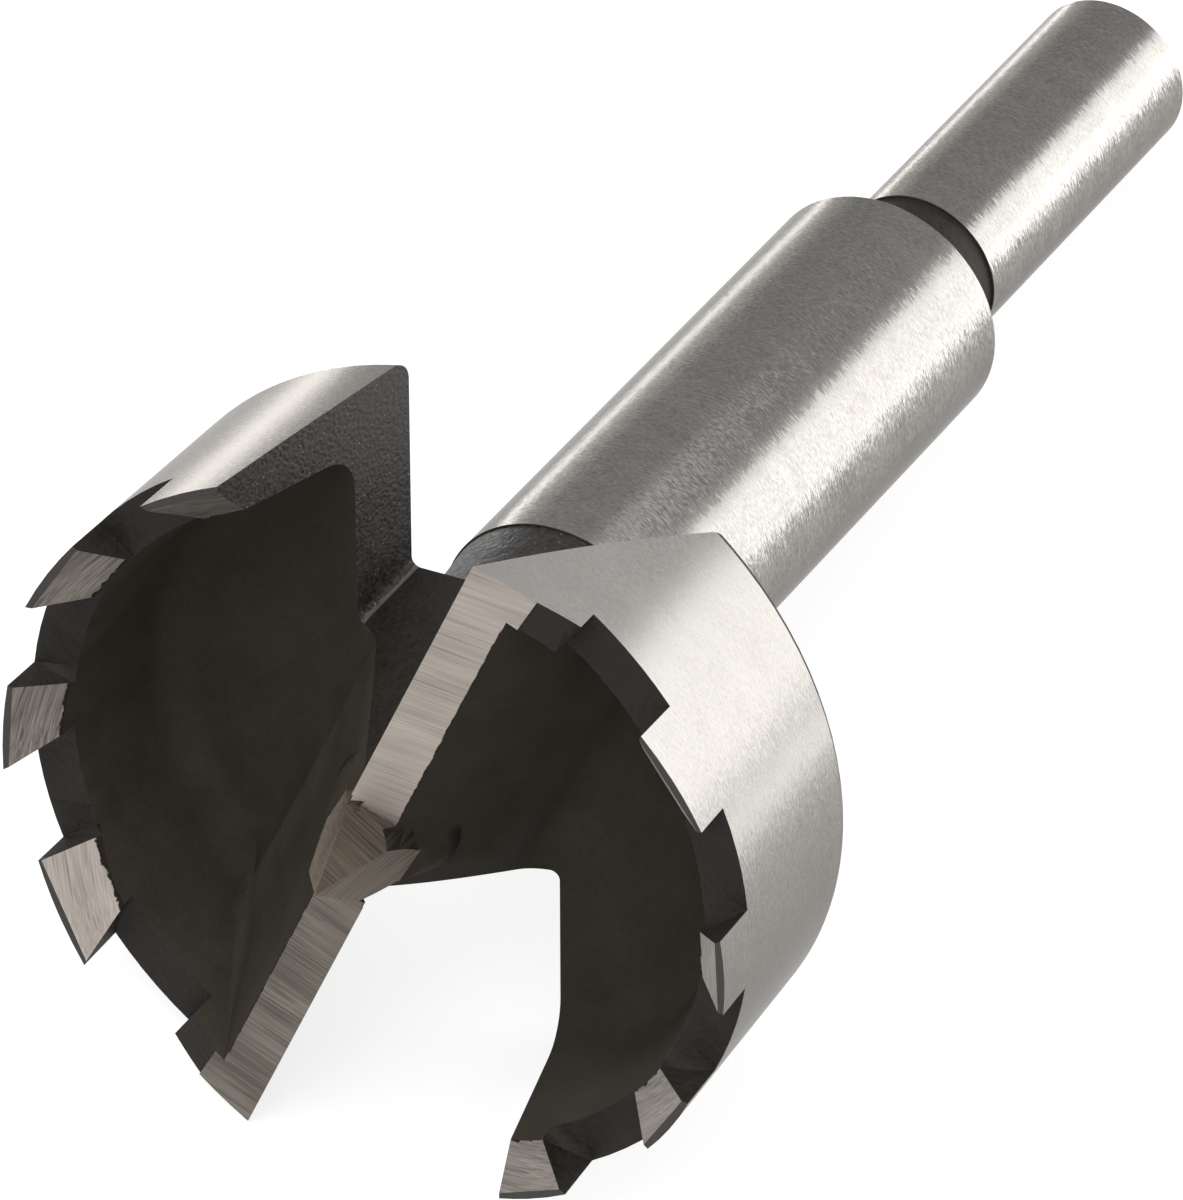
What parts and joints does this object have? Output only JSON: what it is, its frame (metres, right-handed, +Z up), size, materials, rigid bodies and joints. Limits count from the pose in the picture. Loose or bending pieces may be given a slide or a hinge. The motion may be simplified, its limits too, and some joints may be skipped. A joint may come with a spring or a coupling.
{
  "type": "forstner bit",
  "caption": "Forstner bit for woodworking with a saw-toothed rim, radial cutters, open chip gullets, a short centre point, a stout neck and a straight round shank.",
  "frame": {"origin": "middle of the bit's box at the surface that it lies on", "axes": "+Z up, +Y from the cutting head towards the shank's end, which lies a little lower than the head; +X to the right, seen from the shank's end"},
  "size_m": [0.0448, 0.094, 0.044],
  "materials": {
    "steel": "dark forged skin with ground cutting faces, rim, neck and shank"
  },
  "bodies": {
    "root": {"forstner_bit": "steel"}
  },
  "joints": []
}
